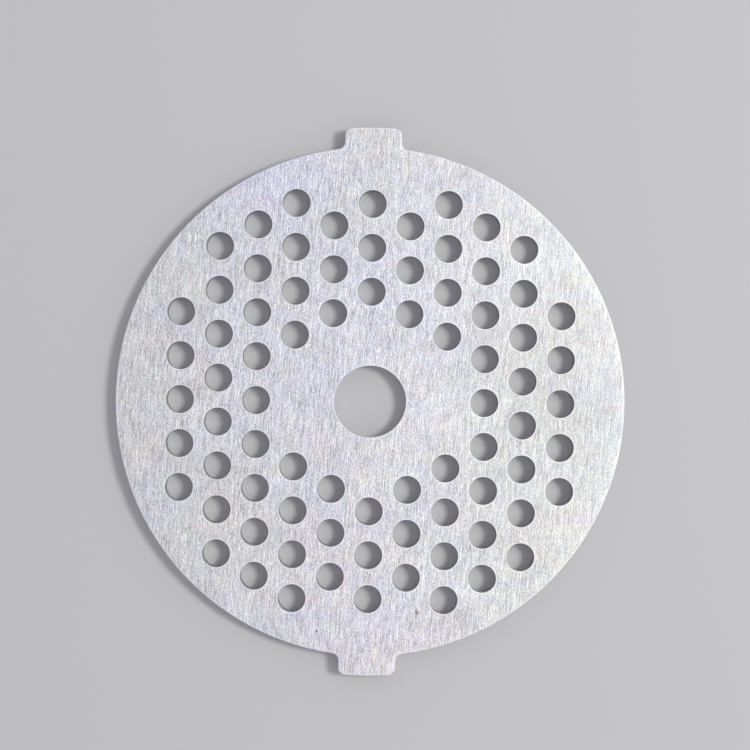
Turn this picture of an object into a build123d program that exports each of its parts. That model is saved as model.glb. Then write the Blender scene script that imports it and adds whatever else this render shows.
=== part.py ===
from build123d import *
import os
from math import ceil, hypot, isclose, sqrt

# Meat grinder plate: one flat blank of stainless sheet, with a lug at each end,
# a bore in the middle and a ring of mincing holes around it.
# Millimetres. The plate lies on its underside at Z 0, centred on the bore,
# with the two lugs along Y.

# Blank
disc_diameter = 58.0
sheet_thickness = 2.0
# The outline is tumbled until it is safe to handle, on both faces
edge_radius = 0.1

# Lugs, which drop into the slots of the grinder's mouth and stop the plate turning
lug_width = 6.5
lug_reach = 2.25
lug_corner_radius = 0.8
lug_root_radius = 0.8

# Bore, which runs on the spigot of the worm
bore_diameter = 8.2

# Mincing holes, in columns that are staggered at sixty degrees
mincing_hole_diameter = 3.2
mincing_hole_pitch = 5.0
# No mincing hole reaches into the hub that the knife turns on,
# or into the rim that the ring nut clamps
plain_hub_diameter = 17.0
plain_rim_width = 2.4

disc_radius = disc_diameter / 2
lug_tip_radius = disc_radius + lug_reach

mincing_hole_radius = mincing_hole_diameter / 2
nearest_centre = plain_hub_diameter / 2 + mincing_hole_radius
farthest_centre = disc_radius - plain_rim_width - mincing_hole_radius


def mincing_hole_centres():
    """Centres of the mincing holes, column by column from left to right.

    The columns stand along the lugs. Each second one is half a pitch higher,
    and the bore lies halfway between two places of the middle column.
    """
    column_spacing = mincing_hole_pitch * sqrt(3) / 2
    last_column = ceil(farthest_centre / column_spacing)
    last_place = ceil(farthest_centre / mincing_hole_pitch)
    centres = []
    for column in range(-last_column, last_column + 1):
        stagger = 0.5 if column % 2 == 0 else 0.0
        for place in range(-last_place - 1, last_place + 1):
            x = column * column_spacing
            y = (place + stagger) * mincing_hole_pitch
            if nearest_centre < hypot(x, y) < farthest_centre:
                centres.append((x, y))
    return centres


with BuildPart() as grinder_plate:
    # The blank: the lugs are the two ends of one strip that crosses the disc,
    # and their tips are struck from the centre of the disc
    with BuildSketch() as blank:
        Circle(lug_tip_radius)
        Rectangle(lug_width, 2 * lug_tip_radius, mode=Mode.INTERSECT)
        fillet(blank.vertices(), radius=lug_corner_radius)
        Circle(disc_radius)
        lug_roots = blank.vertices().filter_by(
            lambda corner: isclose(hypot(corner.X, corner.Y), disc_radius, abs_tol=1e-4)
            and abs(corner.X) < lug_width
        )
        fillet(lug_roots, radius=lug_root_radius)
    extrude(amount=sheet_thickness)
    fillet(grinder_plate.faces().filter_by(Axis.Z).edges(), radius=edge_radius)

    # The holes are cut last, so their edges stay sharp on both faces:
    # the knife shears the meat against them
    with BuildSketch(Plane.XY.offset(sheet_thickness)) as holes:
        Circle(bore_diameter / 2)
        with Locations(*mincing_hole_centres()):
            Circle(mincing_hole_radius)
    extrude(amount=-sheet_thickness, mode=Mode.SUBTRACT)

grinder_plate.part.label = "grinder_plate"

os.makedirs("parts", exist_ok=True)
export_step(grinder_plate.part, "parts/grinder_plate.step")
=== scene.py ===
import math

import bpy
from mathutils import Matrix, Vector


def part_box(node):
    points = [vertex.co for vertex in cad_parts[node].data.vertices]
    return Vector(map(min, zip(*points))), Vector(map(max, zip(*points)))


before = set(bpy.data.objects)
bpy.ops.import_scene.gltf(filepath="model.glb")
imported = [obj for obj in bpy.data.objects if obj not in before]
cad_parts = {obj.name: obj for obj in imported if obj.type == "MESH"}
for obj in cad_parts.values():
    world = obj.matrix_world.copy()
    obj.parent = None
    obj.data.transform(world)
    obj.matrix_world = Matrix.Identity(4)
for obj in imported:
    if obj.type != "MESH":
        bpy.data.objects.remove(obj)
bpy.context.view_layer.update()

# Grinder plate
# One blank of stainless sheet, about 2 mm thick, with both faces brushed on a belt from lug to lug.
# The holes are punched through it, and the outline is tumbled until it is soft to the touch.
MM = 0.001
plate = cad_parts["grinder_plate"]
plate_low, plate_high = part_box("grinder_plate")
plate_bottom = plate_low[2]
plate_top = plate_high[2]
rim_radius = plate_high[0]
lug_tip_radius = plate_high[1]
LUG_HALF_WIDTH = 3.25 * MM
BORE_RADIUS = 4.1 * MM

# The mincing holes stand in columns at sixty degrees, and each second column is half a pitch
# higher. Their middles lie between the plain hub and the plain rim.
HOLE_RADIUS = 1.6 * MM
HOLE_PITCH = 5.0 * MM
COLUMN_SPACING = HOLE_PITCH * math.sqrt(3) / 2
NEAREST_HOLE = 10.1 * MM
FARTHEST_HOLE = 25.0 * MM

# The mean colour and the roughness of a brushed face, and of the two bands that a punch leaves on
# a cut wall: a smooth one on top, and a rough one below it where the metal broke away
BRUSHED_STEEL = "#D9D9DD"
SMOOTH_CUT = "#D2D1D6"
BROKEN_CUT = "#B9B8BC"
FACE_ROUGHNESS = 0.65
SMOOTH_CUT_ROUGHNESS = 0.45
BROKEN_CUT_ROUGHNESS = 0.70
# The smooth band's share of the wall's height
SMOOTH_SHARE = 0.4

# The belt ran 5 degrees off the line of the lugs. Its grit leaves scratches a few hundredths of a
# millimetre wide, drawn here twice as wide, and deeper, so that they show.
# Width, length and contrast of each kind of scratch:
GRAIN_LEAN = math.radians(-5.0)
SCRATCHES = (
    (0.066 * MM, 0.20 * MM, 0.88),
    (0.070 * MM, 0.46 * MM, 0.24),
    (0.076 * MM, 1.15 * MM, 0.50),
    (0.160 * MM, 1.60 * MM, 0.42),
)
# How deep they are, and how much glossier than the rest the bright ones are
SCRATCH_DEPTH = 0.03 * MM
SCRATCH_GLOSS = 0.12
# The freshest scratches are the least blue: how strongly red, green and blue follow them
SCRATCH_HUE = (0.985, 1.0, 0.945)

# Towards the lit side of the rim the scratches are painted fainter, as under the brightest light:
# what is left of them there, and which side
FAINT_SIDE = 0.68
FAINT_DIRECTION = math.radians(15.0)

# Soft lighter and darker patches, where the belt pressed more or less
PATCH_WIDTH = 4.2 * MM
PATCH_LENGTH = 3.3 * MM
PATCH_CONTRAST = 0.22
PATCH_DETAIL = 2.0

# The oxide film tints the face softly, from straw to blue and from green to pink.
# How far red, green and blue swing, then the size and share of each tint's spots,
# which are a third wider than long:
STRAW_TO_BLUE = (0.13, 0.0, -0.16)
GREEN_TO_PINK = (0.0, 0.145, 0.0)
TINTS = (
    (STRAW_TO_BLUE, 0.35 * MM, 0.34),
    (STRAW_TO_BLUE, 0.60 * MM, 0.60),
    (STRAW_TO_BLUE, 1.80 * MM, 0.47),
    (STRAW_TO_BLUE, 7.00 * MM, 0.35),
    (GREEN_TO_PINK, 0.35 * MM, 0.44),
    (GREEN_TO_PINK, 0.65 * MM, 0.76),
    (GREEN_TO_PINK, 1.80 * MM, 0.46),
    (GREEN_TO_PINK, 7.00 * MM, 0.25),
)
TINT_STRETCH = 1.35
# Each tint's pattern is shifted by so much more than that of the last, so that no two are alike
TINT_SHIFT = 100.0 * MM

# Broad areas where the face is bluer or more straw-coloured, and broad areas of painted light and
# shade, where the face is painted lighter or darker as the light falls on it: middle, width,
# length, and the swing of red, green and blue
BROAD_AREAS = (
    ((-13.5 * MM, 25.4 * MM), 14.0 * MM, 8.5 * MM, (-0.034, -0.010, 0.098)),
    ((-2.0 * MM, 2.0 * MM), 32.0 * MM, 52.0 * MM, (-0.010, -0.015, 0.026)),
    ((24.0 * MM, -3.0 * MM), 26.0 * MM, 52.0 * MM, (0.005, 0.012, -0.015)),
    ((27.5 * MM, 2.0 * MM), 6.0 * MM, 34.0 * MM, (-0.014, -0.006, 0.016)),
    ((15.9 * MM, 3.8 * MM), 9.0 * MM, 9.0 * MM, (0.013, 0.005, -0.018)),
    ((18.5 * MM, -19.8 * MM), 10.0 * MM, 9.0 * MM, (0.016, 0.005, -0.022)),
    # These grey areas are painted light and shade: lighter at the upper right and at the bottom,
    # darker right of the middle, at the left, at the top and at the upper left
    ((20.2 * MM, 15.8 * MM), 12.0 * MM, 12.0 * MM, (0.030, 0.030, 0.030)),
    ((22.0 * MM, 1.0 * MM), 16.0 * MM, 14.0 * MM, (-0.042, -0.042, -0.042)),
    ((-24.5 * MM, -1.3 * MM), 10.0 * MM, 12.0 * MM, (-0.030, -0.030, -0.030)),
    ((-5.0 * MM, 21.8 * MM), 12.0 * MM, 6.0 * MM, (-0.055, -0.055, -0.055)),
    ((-15.5 * MM, 15.5 * MM), 13.0 * MM, 8.5 * MM, (-0.050, -0.050, -0.050)),
    ((-0.3 * MM, -24.9 * MM), 32.0 * MM, 17.0 * MM, (0.028, 0.028, 0.028)),
    ((-0.2 * MM, -28.9 * MM), 20.0 * MM, 9.0 * MM, (0.018, -0.020, 0.018)),
)
AREA_SOFTNESS = 0.9

# Where the blank was sheared, its faces roll down towards the outline, and along the roll the face
# is painted brighter: a painted sheen
ROLL_WIDTH = 1.2 * MM
ROLL_DEPTH = 0.04 * MM
ROLL_PAINTED_SHEEN = 0.03

# Along every edge, tumbling and punching rubbed the scratches mostly out, and a thin line is
# painted brighter there: a painted highlight of the edge. Along the outline it is fainter, and it
# begins where the rounding of the edge ends.
EDGE_LINE_WIDTH = 0.18 * MM
EDGE_PAINTED_HIGHLIGHT = 0.14
EDGE_LINE_SMOOTHING = 0.7
OUTLINE_SHARE = 0.55
EDGE_ROUNDING = 0.1 * MM

# The cutting lines down the walls, and the ragged border between the walls' two bands
CUT_LINE_WIDTH = 0.14 * MM
CUT_LINE_LENGTH = 1.8 * MM
CUT_LINE_CONTRAST = 0.5
CUT_LINE_DEPTH = 0.03 * MM
CUT_LINE_DETAIL = 1.0
BAND_RAGGEDNESS = 0.7 * MM
BAND_BORDER = 0.2 * MM

# Small marks on the upper face: colour, middle, width, length, and degrees off the line of the lugs
MARKS = (
    ("#ACA099", (5.60 * MM, -23.92 * MM), 0.40 * MM, 0.58 * MM, 25),
    ("#3C3C48", (-5.74 * MM, -26.23 * MM), 0.21 * MM, 0.21 * MM, 0),
    ("#FAF8FA", (-24.34 * MM, 2.30 * MM), 0.22 * MM, 0.36 * MM, 55),
    ("#FFFFFF", (-20.10 * MM, 18.30 * MM), 0.16 * MM, 1.00 * MM, -5),
    ("#ABAAB3", (-19.98 * MM, 17.96 * MM), 0.12 * MM, 0.60 * MM, -3),
    ("#A3A2AB", (-21.30 * MM, -2.80 * MM), 0.13 * MM, 1.00 * MM, -5),
)
MARK_SOFTNESS = 0.25

# The look of a face lasts down to the first depth, and below the second there is only the look
# of the walls. Between the two it changes, over the outline's rounded edge.
FACE_LOOK_DEPTH = 0.02 * MM
WALL_LOOK_DEPTH = 0.08 * MM


def linear(colour):
    """An sRGB hex colour as linear red, green and blue, by the curve of the standard."""
    channels = [int(colour[i:i + 2], 16) / 255 for i in (1, 3, 5)]
    return [c / 12.92 if c <= 0.04045 else ((c + 0.055) / 1.055) ** 2.4 for c in channels]


def add(tree, kind, links=None, **settings):
    """Adds a node with its settings, and fills its sockets with values or with nodes' outputs."""
    node = tree.nodes.new(kind)
    for name, value in settings.items():
        setattr(node, name, value)
    for name, value in (links or {}).items():
        if isinstance(value, bpy.types.Node):
            value = value.outputs[0]
        if isinstance(value, bpy.types.NodeSocket):
            tree.links.new(value, node.inputs[name])
        else:
            node.inputs[name].default_value = value
    return node


def spots(tree, place, size, detail=0.0, shift=0.0):
    """Random spots, so large across the grain, along it and through the sheet, around 0."""
    noise_mean = 0.5
    moved = add(
        tree, "ShaderNodeMapping",
        {"Vector": place, "Location": (shift, shift, 0), "Rotation": (0, 0, GRAIN_LEAN),
         "Scale": size},
        vector_type="TEXTURE",
    )
    noise = add(tree, "ShaderNodeTexNoise", {"Vector": moved, "Scale": 1.0, "Detail": detail})
    return add(tree, "ShaderNodeMath", {0: noise, 1: noise_mean}, operation="SUBTRACT")


def belt_scratches(tree, place):
    """The scratches of the belt, light above 0 and dark below it."""
    scratches = 0.0
    for width, length, contrast in SCRATCHES:
        kind = spots(tree, place, (width, length, width))
        scratches = add(
            tree, "ShaderNodeMath", {0: kind, 1: contrast, 2: scratches}, operation="MULTIPLY_ADD",
        )
    # Painted light: the scratches fade towards the lit side, as under the brightest light
    faint_side = (math.cos(FAINT_DIRECTION), math.sin(FAINT_DIRECTION), 0)
    towards = add(tree, "ShaderNodeVectorMath", {0: place, 1: faint_side}, operation="DOT_PRODUCT")
    towards = towards.outputs["Value"]
    lit_side_fading = add(
        tree, "ShaderNodeMapRange",
        {"Value": towards, "From Min": 0.0, "From Max": rim_radius, "To Min": 1.0,
         "To Max": FAINT_SIDE},
    )
    return add(tree, "ShaderNodeMath", {0: scratches, 1: lit_side_fading}, operation="MULTIPLY")


def inside(tree, place, middle, width, length, lean, soft):
    """How far a spot lies inside an ellipse on the upper face, which is as deep as it is wide.

    Its border is soft, and runs from inside it to as far outside it.
    """
    from_middle = add(
        tree, "ShaderNodeMapping",
        {"Vector": place, "Location": (*middle, plate_top), "Rotation": (0, 0, lean),
         "Scale": (width / 2, length / 2, width / 2)},
        vector_type="TEXTURE",
    )
    away = add(tree, "ShaderNodeVectorMath", {0: from_middle}, operation="LENGTH")
    away = away.outputs["Value"]
    return add(
        tree, "ShaderNodeMapRange", {"Value": away, "From Min": 1 + soft, "From Max": 1 - soft},
        interpolation_type="SMOOTHSTEP",
    )


def swung(tree, face, pattern, swing):
    """The face's colour, with its red, green and blue swung by a pattern."""
    factor = add(
        tree, "ShaderNodeVectorMath", {0: pattern, 1: swing, 2: (1, 1, 1)},
        operation="MULTIPLY_ADD",
    )
    return add(tree, "ShaderNodeVectorMath", {0: face, 1: factor}, operation="MULTIPLY")


def brushed_face(tree, place, scratches, sunk, edge_line):
    """The colour of a brushed face: steel with tints, broad areas, patches and scratches, a painted
    sheen along the roll and painted highlights along the edges; some broad areas are painted light
    and shade.
    """
    face = linear(BRUSHED_STEEL)
    for number, (swing, size, share) in enumerate(TINTS):
        shift = TINT_SHIFT + TINT_SHIFT * number
        tint = spots(tree, place, (TINT_STRETCH * size, size, size), shift=shift)
        face = swung(tree, face, tint, Vector(swing) * share)
    # The grey broad areas are painted light and shade
    for middle, width, length, swing in BROAD_AREAS:
        area = inside(tree, place, middle, width, length, 0.0, AREA_SOFTNESS)
        face = swung(tree, face, area, swing)
    patches = spots(tree, place, (PATCH_WIDTH, PATCH_LENGTH, PATCH_WIDTH), PATCH_DETAIL)
    pressed = add(
        tree, "ShaderNodeMath", {0: patches, 1: PATCH_CONTRAST, 2: 1.0},
        operation="MULTIPLY_ADD",
    )
    # Painted sheen: the band along the outline is painted brighter
    with_painted_sheen = add(
        tree, "ShaderNodeMath", {0: sunk, 1: ROLL_PAINTED_SHEEN, 2: pressed},
        operation="MULTIPLY_ADD",
    )
    # Painted highlight: a thin line along every edge is painted brighter
    with_painted_highlight = add(
        tree, "ShaderNodeMath", {0: edge_line, 1: EDGE_PAINTED_HIGHLIGHT, 2: with_painted_sheen},
        operation="MULTIPLY_ADD",
    )
    brightness = add(
        tree, "ShaderNodeVectorMath", {0: scratches, 1: SCRATCH_HUE, 2: with_painted_highlight},
        operation="MULTIPLY_ADD",
    )
    return add(tree, "ShaderNodeVectorMath", {0: face, 1: brightness}, operation="MULTIPLY")


def marked(tree, place, face):
    """The face's colour with its small marks on it."""
    for colour, middle, width, length, lean in MARKS:
        mark = inside(tree, place, middle, width, length, math.radians(lean), MARK_SOFTNESS)
        covered = add(
            tree, "ShaderNodeMix", {0: mark, 4: face, 5: linear(colour)}, data_type="VECTOR",
        )
        face = covered.outputs[1]
    return face


def smooth_band(tree, height, cut_lines):
    """How far a spot of a cut wall belongs to the smooth band on top, with its ragged border."""
    ragged = add(
        tree, "ShaderNodeMath", {0: cut_lines, 1: BAND_RAGGEDNESS, 2: height},
        operation="MULTIPLY_ADD",
    )
    border = plate_top - SMOOTH_SHARE * (plate_top - plate_bottom)
    return add(
        tree, "ShaderNodeMapRange",
        {"Value": ragged, "From Min": border - BAND_BORDER / 2,
         "From Max": border + BAND_BORDER / 2},
        interpolation_type="SMOOTHSTEP",
    )


def from_outline(tree, x, radius):
    """The distance in from the outline: from the disc's rim, or in a lug from its sides and tip."""
    off_middle = add(tree, "ShaderNodeMath", {0: x}, operation="ABSOLUTE")
    from_side = add(
        tree, "ShaderNodeMath", {0: LUG_HALF_WIDTH, 1: off_middle}, operation="SUBTRACT",
    )
    from_tip = add(tree, "ShaderNodeMath", {0: lug_tip_radius, 1: radius}, operation="SUBTRACT")
    in_lug = add(tree, "ShaderNodeMath", {0: from_side, 1: from_tip}, operation="MINIMUM")
    from_rim = add(tree, "ShaderNodeMath", {0: rim_radius, 1: radius}, operation="SUBTRACT")
    return add(tree, "ShaderNodeMath", {0: from_rim, 1: in_lug}, operation="MAXIMUM")


def from_holes(tree, flat, radius):
    """The distance from the wall of the bore or of the nearest mincing hole."""
    nearest = add(tree, "ShaderNodeMath", {0: radius, 1: BORE_RADIUS}, operation="SUBTRACT")
    # The holes repeat in cells two columns wide and one pitch long, whose depth doesn't matter:
    # once for the middle column and each second one from it, and once for those between
    half_cell = Vector((COLUMN_SPACING, HOLE_PITCH / 2, 1.0))
    ring_middle = (FARTHEST_HOLE + NEAREST_HOLE) / 2
    ring_half_width = (FARTHEST_HOLE - NEAREST_HOLE) / 2
    for first_hole in ((0, HOLE_PITCH / 2, 0), (COLUMN_SPACING, 0, 0)):
        moved = add(tree, "ShaderNodeVectorMath", {0: flat, 1: first_hole}, operation="SUBTRACT")
        from_middle = add(
            tree, "ShaderNodeVectorMath", {0: moved, 1: half_cell, 2: -half_cell},
            operation="WRAP",
        )
        away = add(tree, "ShaderNodeVectorMath", {0: from_middle}, operation="LENGTH")
        away = away.outputs["Value"]
        middle = add(tree, "ShaderNodeVectorMath", {0: flat, 1: from_middle}, operation="SUBTRACT")
        reach = add(tree, "ShaderNodeVectorMath", {0: middle}, operation="LENGTH")
        reach = reach.outputs["Value"]
        off_ring = add(tree, "ShaderNodeMath", {0: reach, 1: ring_middle}, operation="SUBTRACT")
        off_ring = add(tree, "ShaderNodeMath", {0: off_ring}, operation="ABSOLUTE")
        # A place off the ring has no hole, and counts as a metre further away
        no_hole = add(
            tree, "ShaderNodeMath", {0: off_ring, 1: ring_half_width}, operation="GREATER_THAN",
        )
        from_wall = add(tree, "ShaderNodeMath", {0: away, 1: HOLE_RADIUS}, operation="SUBTRACT")
        from_wall = add(tree, "ShaderNodeMath", {0: from_wall, 1: no_hole}, operation="ADD")
        nearest = add(tree, "ShaderNodeMath", {0: nearest, 1: from_wall}, operation="MINIMUM")
    return nearest


def brushed_stainless():
    """Brushed 304 stainless sheet: a bright grey of fine short scratches, with duller cut walls."""
    material = bpy.data.materials.new("brushed_stainless_304")
    material.use_nodes = True
    tree = material.node_tree
    tree.nodes.clear()
    place = add(tree, "ShaderNodeTexCoord").outputs["Object"]
    x, y, height = add(tree, "ShaderNodeSeparateXYZ", {0: place}).outputs
    flat = add(tree, "ShaderNodeCombineXYZ", {"X": x, "Y": y})
    radius = add(tree, "ShaderNodeVectorMath", {0: flat}, operation="LENGTH").outputs["Value"]

    # The roll towards the outline, and the line along every edge with its scratches rubbed out and
    # its
    #  painted highlight
    outline_distance = from_outline(tree, x, radius)
    near_outline = add(
        tree, "ShaderNodeMapRange",
        {"Value": outline_distance, "From Min": 0.0, "From Max": ROLL_WIDTH, "To Min": 1.0,
         "To Max": 0.0},
    )
    sunk = add(tree, "ShaderNodeMath", {0: near_outline, 1: near_outline}, operation="MULTIPLY")
    past_rounding = add(
        tree, "ShaderNodeMath", {0: outline_distance, 1: EDGE_ROUNDING}, operation="SUBTRACT",
    )
    hole_distance = from_holes(tree, flat, radius)
    edge_line = 0.0
    for distance, share in ((past_rounding, OUTLINE_SHARE), (hole_distance, 1.0)):
        line = add(
            tree, "ShaderNodeMapRange",
            {"Value": distance, "From Min": EDGE_LINE_WIDTH, "From Max": EDGE_LINE_WIDTH / 2,
             "To Max": share},
            interpolation_type="SMOOTHSTEP",
        )
        edge_line = add(tree, "ShaderNodeMath", {0: line, 1: edge_line}, operation="MAXIMUM")

    # The brushed faces
    unrubbed = add(
        tree, "ShaderNodeMath", {0: edge_line, 1: -EDGE_LINE_SMOOTHING, 2: 1.0},
        operation="MULTIPLY_ADD",
    )
    scratches = belt_scratches(tree, place)
    scratches = add(tree, "ShaderNodeMath", {0: scratches, 1: unrubbed}, operation="MULTIPLY")
    face = marked(tree, place, brushed_face(tree, place, scratches, sunk, edge_line))
    face_roughness = add(
        tree, "ShaderNodeMath", {0: scratches, 1: -SCRATCH_GLOSS, 2: FACE_ROUGHNESS},
        operation="MULTIPLY_ADD",
    )

    # The cut walls
    cut_line_size = (CUT_LINE_WIDTH, CUT_LINE_WIDTH, CUT_LINE_LENGTH)
    cut_lines = spots(tree, place, cut_line_size, CUT_LINE_DETAIL)
    smooth = smooth_band(tree, height, cut_lines)
    band = add(
        tree, "ShaderNodeMix", {0: smooth, 4: linear(BROKEN_CUT), 5: linear(SMOOTH_CUT)},
        data_type="VECTOR",
    )
    line_brightness = add(
        tree, "ShaderNodeMath", {0: cut_lines, 1: CUT_LINE_CONTRAST, 2: 1.0},
        operation="MULTIPLY_ADD",
    )
    wall = add(
        tree, "ShaderNodeVectorMath", {0: band.outputs[1], "Scale": line_brightness},
        operation="SCALE",
    )
    wall_roughness = add(
        tree, "ShaderNodeMix", {0: smooth, 2: BROKEN_CUT_ROUGHNESS, 3: SMOOTH_CUT_ROUGHNESS},
    )

    # How far a spot belongs to a face and not to a wall
    half_sheet = (plate_top - plate_bottom) / 2
    above_middle = add(
        tree, "ShaderNodeMath", {0: height, 1: plate_bottom + half_sheet}, operation="SUBTRACT",
    )
    off_middle = add(tree, "ShaderNodeMath", {0: above_middle}, operation="ABSOLUTE")
    on_face = add(
        tree, "ShaderNodeMapRange",
        {"Value": off_middle, "From Min": half_sheet - WALL_LOOK_DEPTH,
         "From Max": half_sheet - FACE_LOOK_DEPTH},
    )
    colour = add(tree, "ShaderNodeMix", {0: on_face, 4: wall, 5: face}, data_type="VECTOR")
    roughness = add(tree, "ShaderNodeMix", {0: on_face, 2: wall_roughness, 3: face_roughness})

    # The relief: the roll of the faces, and on it the scratches and the cutting lines
    roll = add(
        tree, "ShaderNodeBump", {"Strength": 1.0, "Distance": ROLL_DEPTH, "Height": sunk},
        invert=True,
    )
    wall_relief = add(
        tree, "ShaderNodeMath", {0: cut_lines, 1: CUT_LINE_DEPTH / SCRATCH_DEPTH},
        operation="MULTIPLY",
    )
    relief = add(tree, "ShaderNodeMix", {0: on_face, 2: wall_relief, 3: scratches})
    bump = add(
        tree, "ShaderNodeBump",
        {"Strength": 1.0, "Distance": SCRATCH_DEPTH, "Height": relief, "Normal": roll},
    )
    steel = add(
        tree, "ShaderNodeBsdfPrincipled",
        {"Base Color": colour.outputs[1], "Metallic": 1.0, "Roughness": roughness, "Normal": bump},
    )
    add(tree, "ShaderNodeOutputMaterial", {"Surface": steel})
    return material


plate.data.materials.clear()
plate.data.materials.append(brushed_stainless())

# Floor
# A plain board that the plate lies on, in a pale matt paint that shows the plate's soft shade.
# It isn't part of the plate.
FLOOR = "#BFBFC2"
FLOOR_ROUGHNESS = 0.8
FLOOR_SIDE = 3.0
bpy.ops.object.select_all(action="DESELECT")
bpy.ops.mesh.primitive_plane_add(size=FLOOR_SIDE, location=(0, 0, plate_bottom))
floor = bpy.context.object
floor.name = "floor"
floor_paint = bpy.data.materials.new("pale_matt_board")
floor_paint.use_nodes = True
board = floor_paint.node_tree.nodes["Principled BSDF"]
board.inputs["Base Color"].default_value = (*linear(FLOOR), 1)
board.inputs["Roughness"].default_value = FLOOR_ROUGHNESS
floor.data.materials.append(floor_paint)

# Lights
# A soft key lamp on the right, turned a little towards the upper lug and as high as the shadows in
# the holes say, and an even sky that is slightly cooler.
KEY_COLOUR = "#FDFFF6"
KEY_SIDE = 0.14
KEY_POWER = 1.93
KEY_DISTANCE = 0.6
KEY_TURN = math.radians(9.5)
KEY_RISE = math.radians(54.0)
SKY = "#FBF9FF"
SKY_STRENGTH = 0.622
lamp = bpy.data.lights.new("key_lamp", "AREA")
lamp.shape = "SQUARE"
lamp.size = KEY_SIDE
lamp.energy = KEY_POWER
lamp.color = linear(KEY_COLOUR)
to_lamp = Vector((
    math.cos(KEY_TURN) * math.cos(KEY_RISE),
    math.sin(KEY_TURN) * math.cos(KEY_RISE),
    math.sin(KEY_RISE),
))
lamp_holder = bpy.data.objects.new("key_lamp", lamp)
lamp_holder.location = to_lamp * KEY_DISTANCE
lamp_holder.rotation_euler = to_lamp.to_track_quat("Z", "Y").to_euler()
bpy.context.scene.collection.objects.link(lamp_holder)

world = bpy.data.worlds.new("even_sky")
world.use_nodes = True
sky = world.node_tree.nodes["Background"]
sky.inputs["Color"].default_value = (*linear(SKY), 1)
sky.inputs["Strength"].default_value = SKY_STRENGTH
bpy.context.scene.world = world

# Camera
# Straight above the plate, with the plate's centre a little left of and below the picture's centre.
CAMERA_HEIGHT = 180.4 * MM
PICTURE_WIDTH = 85.37 * MM
AIM = (0.51 * MM, 3.03 * MM)
PLATE_TURN = math.radians(0.76)
SENSOR_WIDTH = 36.0
NEAREST_SEEN = 10.0 * MM
camera = bpy.data.cameras.new("camera")
camera.sensor_width = SENSOR_WIDTH
camera.lens = SENSOR_WIDTH * CAMERA_HEIGHT / PICTURE_WIDTH
camera.clip_start = NEAREST_SEEN
camera_holder = bpy.data.objects.new("camera", camera)
camera_holder.location = (*AIM, plate_top + CAMERA_HEIGHT)
camera_holder.rotation_euler = (0, 0, PLATE_TURN)
bpy.context.scene.collection.objects.link(camera_holder)
bpy.context.scene.camera = camera_holder

bpy.context.scene.view_settings.view_transform = "Standard"
